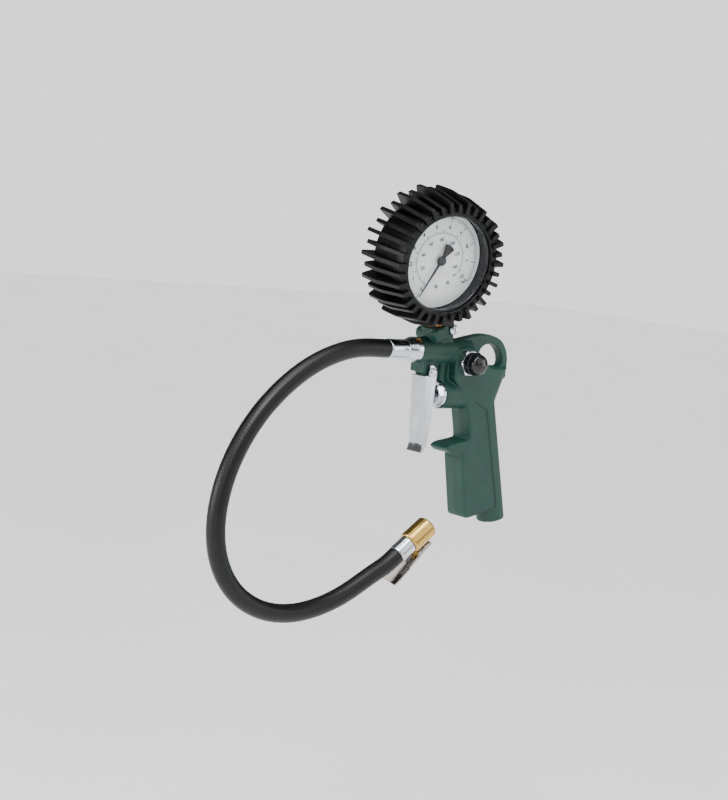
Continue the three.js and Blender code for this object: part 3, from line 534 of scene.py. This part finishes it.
gun = recast("gun_body_cast", "gun_body", 0.72, lined_powder_coat(), "gun", 4,
             finger_faces)
gun_points = coordinates(gun.data) / MM
# Painted shade mask: full on the side panels' outline and fading out over its width; the powder coat darkens by it.
from_step = to_segments(gun_points[:, [0, 2]], PANEL_STEP)
step_shade = np.clip(1.15 - from_step / STEP_SHADE_WIDTH, 0, 1) * (np.abs(gun_points[:, 1]) > PANEL_Y)
gun.data.attributes.new("panel_step_shade", "FLOAT", "POINT").data.foreach_set("value", step_shade.astype(np.float32))

# ---------------------------------------------------------------- trigger lever and rivet
# A channel pressed from bright zinc-plated sheet with a shallow dished panel near its foot, on a
# rivet through the casting's lug. Pulling it drives the valve stem in.
zinc = grained("bright_zinc_plate", "#c3c7ce", "#d2d5da", 0.8, 0.004, (0.15, 0.23), (1, 1, 4), 14, Metallic=1.0)
DISH_MIDDLE = 22
DISH_HALF = (5.4, 14)
DISH_DEPTH = 0.6


def dished(points):
    """Presses a shallow oblong dish into the lever's front sheet.

    Its depth is a quarter sine of how far a point lies inside the dish's ellipse.
    """
    y = points[:, 1] / MM
    z = points[:, 2] / MM
    reach = 1 - np.hypot(y / DISH_HALF[0], (z - DISH_MIDDLE) / DISH_HALF[1])
    depth = DISH_DEPTH * np.sin(pi / 2 * np.clip(reach, 0, 1))
    front = points[:, 0] / MM < -67 + (67.6 - z) * 0.0985 + 1.9
    points[:, 0] += MM * depth * front * (y ** 2 < 60)
    return points


recast("trigger_lever_pressed", "trigger_lever", 0.32, zinc, "trigger", 3, dished)
SIDEWAYS = Matrix.Rotation(-pi / 2, 4, "X")
turned("trigger_rivet_turned", [
    (0, -10.2), (2.4, -10.2, 0.6), (3.8, -9.2, 0.6), (3.8, -8.4), (2, -8.4), (2, 8.4), (3.8, 8.4), (3.8, 9.2, 0.6),
    (2.4, 10.2, 0.6), (0, 10.2)], Matrix.Translation(MM * Vector((-59.9, 0, 70.3))) @ SIDEWAYS, zinc, "gun",
    ["trigger_pin"], "zinc_plate", sides=64)

# ---------------------------------------------------------------- main valve
# A chromed plug with a hexagon and a round flange closes the valve boss; the stem passes through
# it to the lever. Seals and return spring sit behind it in the boss.
VALVE_AXIS = Matrix.Translation((0, 0, 52.2 * MM)) @ Matrix.Rotation(pi / 2, 4, "Y")
turned("valve_plug_flange", [
    (2.5, -46.6), (10.1, -46.6, 0.4), (10.4, -46.2), (10.4, -44.3), (5.2, -44.3), (5.2, -41.4), (6.2, -41.4),
    (6.2, -30), (2.5, -30)], VALVE_AXIS, chrome, "gun", ["valve_plug"], "chrome_plate", closed_loop=True)
turned("valve_plug_hexagon", [
    (2.5, -49.6), (6.9, -49.6), (8.1, -48.9), (8.1, -46.7), (2.5, -46.7)], VALVE_AXIS, chrome, "gun", (),
    "chrome_plate", flats=(6, 14), closed_loop=True)
turned("valve_stem_turned", [
    (0, -63.6), (1.4, -63.6), (2.2, -62.6), (2.2, -28), (5, -28), (5, -26.4), (1.6, -26.4), (1.6, -22.5), (0, -22.5)],
    VALVE_AXIS, steel, "valve", ["valve_stem"], "steel", sides=48)
valve_spring = coil_spring("valve_spring_wound", "valve_spring", VALVE_AXIS, 3.8, 0.9, -25.6, -16.2, 4)
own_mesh(valve_spring)
for source in ("valve_plug_seal", "valve_seal"):
    dress(source, seal_rubber)

# ---------------------------------------------------------------- vent valve
# A chromed hexagon nut holds a glossy black collar on the dial side; the domed black button in
# the collar lets air out of the tyre when it is pressed.
VENT_AXIS = Matrix.Translation(MM * Vector((-26.9, 0, 79.5))) @ SIDEWAYS
NUT_AXIS = VENT_AXIS @ Matrix.Rotation(radians(30), 4, "Z")
gloss_black = grained("moulded_gloss_black", "#08080a", "#121214", 0.9, 0.004, (0.1, 0.22), patches=5)
turned("vent_nut_hexagon", [
    (5.3, -17.3), (9.5, -17.3), (10.95, -16.5), (10.95, -13.1), (9.5, -12.3), (5.3, -12.3)], NUT_AXIS, chrome, "gun",
    ["vent_nut"], "chrome_plate", flats=(6, 19), closed_loop=True)
turned("vent_collar_moulded", [
    (2.8, 0.5), (4.9, 0.5), (4.9, -17.6), (8.8, -17.6, 0.3), (9.2, -18.3, 0.3), (9.2, -22.1, 0.5), (8.9, -22.6, 0.2),
    (8.5, -22.4, 0.2), (8.5, -18.5), (2.8, -18.5)], VENT_AXIS, gloss_black, "gun", ["vent_bush"], "black_plastic",
    closed_loop=True)
turned("vent_button_moulded", [
    (0, -30.2), (3, -29.9, 2.5), (6, -28.8, 2.5), (7.7, -27.3, 1), (8.1, -26, 1), (8.1, -21.8, 0.4), (6.6, -21.8),
    (6.4, -24.9), (2.6, -24.9), (0, -24.9)], VENT_AXIS, gloss_black, "vent", ["vent_button"], "black_plastic")
vent_spring = coil_spring("vent_spring_wound", "vent_spring", VENT_AXIS, 4.6, 0.9, -19.2, -24.2, 3)
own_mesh(vent_spring)
dress("vent_pin", steel)

# ---------------------------------------------------------------- clamp screw
# A slotted pan-head screw, chromed, pulls the split neck together on the gauge's stem.
recast("clamp_screw_slotted", "clamp_screw", 0.2, chrome, "gun", 2)

# ---------------------------------------------------------------- gauge case, bezel and window
# A round black case with a snapped-in bezel and a clear pane. The gauge leans forward on its
# stem, tips towards the dial side and is swung a little about the stem.
LEAN, TIP, SWING = radians(20.2), radians(7.1), radians(-8.3)
NECK_TOP = Vector((-54.4, 0, 109.1))
neck_turn = Matrix.Rotation(-LEAN, 4, "Y") @ Matrix.Rotation(TIP, 4, "X")
GAUGE = (Matrix.Translation(MM * (NECK_TOP + 56 * (neck_turn @ Vector((0, 0, 1))))) @ neck_turn
         @ Matrix.Rotation(SWING, 4, "Z"))
GAUGE_AXIS = GAUGE @ SIDEWAYS
case_black = grained("moulded_case_black", "#0c0c0e", "#17171a", 0.5, 0.01, (0.25, 0.4), patches=12)
turned("gauge_case_moulded", [
    (0, 10), (39, 10, 1), (40, 9, 0.6), (40, -22), (38.5, -22), (38.5, 8.5), (0, 8.5)], GAUGE_AXIS, case_black, "gun",
    ["gauge_case"], "black_plastic", sides=160)
turned("gauge_bezel_moulded", [
    (36.6, -24.4, 0.5), (37.3, -25, 0.4), (39.4, -25, 0.5), (40, -24.3, 0.4), (40, -22.3), (36.6, -22.3)], GAUGE_AXIS,
    gloss_black, "gun", ["gauge_bezel"], "black_plastic", closed_loop=True, sides=160)


def window_pane():
    """Clear polycarbonate: nearly all light goes straight through, with a moulded pane's gloss."""
    look, tree, shader = new_look("moulded_window", Alpha=0.05, IOR=1.49, Base_Color=linear("#3a4246"))
    wave = node(tree, "TexNoise", {"Vector": node(tree, "TexCoord").outputs["Object"], "Scale": 90.0,
                                   "Detail": 2.0})
    gloss = node(tree, "MapRange", {"Value": wave.outputs["Fac"], "To Min": 0.02, "To Max": 0.06})
    tree.links.new(gloss.outputs[0], shader.inputs["Roughness"])
    bump = node(tree, "Bump", {"Height": wave.outputs["Fac"], "Distance": 0.02 * MM, "Strength": 0.3})
    tree.links.new(bump.outputs["Normal"], shader.inputs["Normal"])
    return look


turned("gauge_window_pane", [(0, -21.9), (38.2, -21.9), (38.2, -20), (0, -20)], GAUGE_AXIS, window_pane(),
       "gun", ["gauge_window"], "window", sides=160)

# ---------------------------------------------------------------- dial, marks and pointer
# White enamelled dial held by two slotted screws, printed in black with a bar scale round the
# rim and a psi scale inside it. The black pointer has a fan-shaped tail.
DIAL_Y = -13.0
INK_LIFT = 0.06
ZERO = radians(-135)
SWEEP = radians(270)
white_enamel = grained("white_dial_enamel", "#f4f5f7", "#fdfdfe", 0.3, 0.003, (0.35, 0.45), patches=20)
turned("gauge_dial_enamelled", [(1.6, -12.2), (37.8, -12.2, 0.1), (37.8, -13, 0.1), (1.6, -13)], GAUGE_AXIS,
       white_enamel, "gun", ["gauge_dial"], "dial_white", closed_loop=True, sides=160)
ink = grained("printed_dial_ink", "#0b0c0e", "#1a1b1e", 0.2, 0.002, (0.5, 0.65), patches=3)


def bars(angles, inner, outer, width):
    """Flat printed strokes: one rectangle for each angle, from the inner to the outer radius."""
    angles, inner, outer, width = np.broadcast_arrays(angles, inner, outer, width)
    out = np.stack([np.sin(angles), np.cos(angles)], -1)
    across = np.stack([np.cos(angles), -np.sin(angles)], -1) * (width / 2)[:, None]
    inside = out * inner[:, None]
    outside = out * outer[:, None]
    corners = np.stack([inside - across, inside + across, outside + across, outside - across], 1)
    return corners.reshape(-1, 2)


def marks_mesh(corner_sets):
    """Quads from stacked corners, set just proud of the dial."""
    flat = np.concatenate(corner_sets)
    points = np.stack([flat[:, 0], np.full(len(flat), DIAL_Y - INK_LIFT), flat[:, 1]], -1)
    return points, np.arange(len(points)).reshape(-1, 4)


def dial_angle(share):
    """The angle from the top, clockwise, at a share of the scale's sweep."""
    return ZERO + SWEEP * share


bar_steps = np.arange(0, 101)
bar_long = np.where(bar_steps % 10 == 0, 4.2, np.where(bar_steps % 5 == 0, 3.0, 1.9))
psi_steps = np.arange(0, 146, 2)
psi_long = np.where(psi_steps % 20 == 0, 2.9, np.where(psi_steps % 10 == 0, 2.1, 1.3))
PSI_SHARE = 0.00689476
BAR_RIM = 34.4
PSI_RIM = 21.2
ARC_OVERLAP = 1.03
arc = np.linspace(0, 1, 181)
strokes = [
    bars(dial_angle(bar_steps / 100), BAR_RIM - bar_long, BAR_RIM, np.where(bar_steps % 10 == 0, 0.62, 0.36)),
    bars(dial_angle(psi_steps * PSI_SHARE), PSI_RIM, PSI_RIM + psi_long,
         np.where(psi_steps % 20 == 0, 0.55, 0.34)),
    bars(dial_angle(arc[:-1]), 34.25, 34.5, BAR_RIM * SWEEP / 180 * ARC_OVERLAP),
    bars(dial_angle(arc[:-1]), 21.05, 21.3, PSI_RIM * SWEEP / 180 * ARC_OVERLAP),
]
ink_points, ink_quads = marks_mesh(strokes)
ink_mesh = bpy.data.meshes.new("dial_scale_print")
ink_mesh.from_pydata(placed(ink_points, GAUGE).tolist(), [], ink_quads.tolist())


def lettering(body, place, size):
    """A word or number as a flat mesh's points in mm on the dial, centred on place."""
    text = bpy.data.curves.new("text", "FONT")
    text.body = body
    text.size = size
    text.offset = 0.03 * size
    text.align_x = "CENTER"
    text.align_y = "CENTER"
    maker = bpy.data.objects.new("text", text)
    bpy.context.collection.objects.link(maker)
    mesh = bpy.data.meshes.new_from_object(maker.evaluated_get(bpy.context.evaluated_depsgraph_get()))
    bpy.data.objects.remove(maker)
    x, y, _ = coordinates(mesh).T
    local = np.stack([x + place[0], np.full(len(x), DIAL_Y - INK_LIFT), y + place[1]], -1)
    mesh.vertices.foreach_set("co", placed(local, GAUGE).reshape(-1))
    return mesh


def on_dial(share, radius):
    """The place in mm at a share of the scale, on a circle of that radius."""
    return radius * sin(dial_angle(share)), radius * cos(dial_angle(share))


words = [(str(k), on_dial(k / 10, 26.6), 4.4) for k in range(11)]
words += [(str(k), on_dial(k * PSI_SHARE, 16.2), 3.7) for k in range(20, 141, 20)]
words += [("bar", (20.4, -23.4), 3.4), ("psi", (12.6, -15.4), 2.8)]
print_work = bmesh.new()
print_work.from_mesh(ink_mesh)
for word in words:
    print_work.from_mesh(lettering(*word))
print_work.to_mesh(ink_mesh)
print_work.free()
toward = GAUGE.to_3x3() @ Vector((0, -1, 0))
turn_over = bmesh.new()
turn_over.from_mesh(ink_mesh)
turn_over.normal_update()
bmesh.ops.reverse_faces(turn_over, faces=[f for f in turn_over.faces if f.normal.dot(toward) < 0])
turn_over.to_mesh(ink_mesh)
turn_over.free()
ink_mesh.materials.append(ink)
dial_print = bpy.data.objects.new("dial_scale_print", ink_mesh)
bpy.context.collection.objects.link(dial_print)
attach(dial_print, "gun")

pointer_black = grained("pointer_lacquer", "#18191c", "#2b2d31", 0.3, 0.006, (0.4, 0.55), patches=6)
recast("gauge_pointer_pressed", "gauge_pointer", 0.16, pointer_black, "pointer", 1)
for number in (1, 2):
    recast(f"dial_screw_{number}_slotted", f"dial_screw_{number}", 0.12, steel, "gun", 2)
for source in ("movement_frame", "sector_gear", "bourdon_tube"):
    dress(source, brass)
dress("movement_link", steel)

# ---------------------------------------------------------------- gauge stem
# Brass socket with a hexagon between the case and the gun's neck, on a copper washer.
turned("gauge_socket_turned", [
    (1.8, -70), (5.9, -70), (6.3, -69.4), (6.3, -54.5), (10.6, -54.3, 0.4), (12.7, -53.2, 0.3), (12.7, -47.2, 0.3),
    (10.6, -46), (6.8, -46), (6.8, -41.2), (6.8, -30.4), (1.8, -30.4)], GAUGE, brass, "gun", ["gauge_socket"], "brass",
    flats=(6, 22), closed_loop=True)
copper = grained("soft_copper", "#a4633f", "#c4835a", 0.4, 0.01, (0.3, 0.45), Metallic=1.0)
turned("stem_gasket_ring", [(6.7, -55.7), (9.6, -55.7), (9.6, -54.6), (6.7, -54.6)], GAUGE, copper, "gun",
       ["stem_gasket"], "copper", closed_loop=True)

# ---------------------------------------------------------------- gauge boot
# Thick black rubber moulded round the case, with long and short fins in turn that take the
# knock when the gun is dropped. The rubber is matte.
boot_rubber = grained("matte_boot_rubber", "#020203", "#070708", 0.7, 0.02, (0.34, 0.5), patches=10,
                      Specular_IOR_Level=0.28)
BOOT_RIBS = 36
FIN_HALF = 1.6
FIN_EASE = 0.4
FIN_FRONT = -30.4
STEM_HALF = 13.6
FIN_MIDDLE = 48


def fin_outline(long_fin, cut_short):
    """The fin seen from the side, in (radius, depth) mm, denser at its rounded corners."""
    crown, tail, foot = (54.2, 16.6, 40.0) if long_fin else (52.2, 14.6, 41.0)
    if cut_short:
        return softened([(41.5, -14.2, 0.3), (crown - 2, -14.2, 0.8), (crown - 5, FIN_FRONT, 0.7),
                         (foot, FIN_FRONT, 0.7), (41, -22, 0.5)], closed_loop=True)
    return softened([
        (41.5, 11, 0.3), (43.5, tail - 1.5, 0.8), (crown - 1.2, tail, 0.7), (crown, tail - 1.2, 0.7), (crown, -4, 5),
        (crown - 5, FIN_FRONT, 0.7), (foot, FIN_FRONT, 0.7), (41, -22, 0.5)], closed_loop=True)


def fin_grid(angle, outline, place):
    """A flat fin on edge: the outline at both faces, eased round the rims to each face's middle."""
    ahead = np.roll(outline, -1, axis=0) - np.roll(outline, 1, axis=0)
    inward = np.stack([-ahead[:, 1], ahead[:, 0]], -1) / np.linalg.norm(ahead, axis=1)[:, None]
    middle = outline.mean(axis=0)
    if ((middle - outline) * inward).sum() < 0:
        inward = -inward
    arc = np.linspace(0, pi / 2, 5)
    inset = np.concatenate([[1.4 * FIN_EASE], FIN_EASE * (1 - np.sin(arc))])
    depth = np.concatenate([[FIN_HALF], FIN_HALF - FIN_EASE * (1 - np.cos(arc))])
    rims = outline[None] + inset[:, None, None] * inward[None]
    face = np.concatenate([np.broadcast_to(middle, (1, *outline.shape)), rims])
    thick = np.concatenate([[FIN_HALF], depth])
    flat = np.concatenate([face, face[::-1]])
    offset = np.concatenate([thick, -thick[::-1]])
    radius, along = flat[..., 0], flat[..., 1]
    across = np.broadcast_to(offset[:, None], radius.shape)
    local = np.stack([radius * sin(angle) + across * cos(angle), along,
                      radius * cos(angle) - across * sin(angle)], -1)
    return placed(local, place)


boot_grids = [revolved([
    (40.3, 10.3), (34, 10.3, 0.8), (34, 13.4, 0.8), (43.6, 13.4, 1.5), (45.2, 9, 2), (45.2, -20, 3), (43.8, -27.4, 1),
    (38.2, -27.4, 0.6), (38.2, -25.3), (40.3, -25.3)], GAUGE_AXIS, closed_loop=True, sides=200)]
for rib in range(BOOT_RIBS):
    rib_angle = 2 * pi * (rib + 0.5) / BOOT_RIBS
    by_stem = cos(rib_angle) < 0 and abs(FIN_MIDDLE * sin(rib_angle)) < STEM_HALF
    boot_grids.append(fin_grid(rib_angle, fin_outline(rib % 2 == 0, by_stem)[:-1], GAUGE))
skin("gauge_boot_moulded", boot_grids, boot_rubber, "gun", ["gauge_boot"])
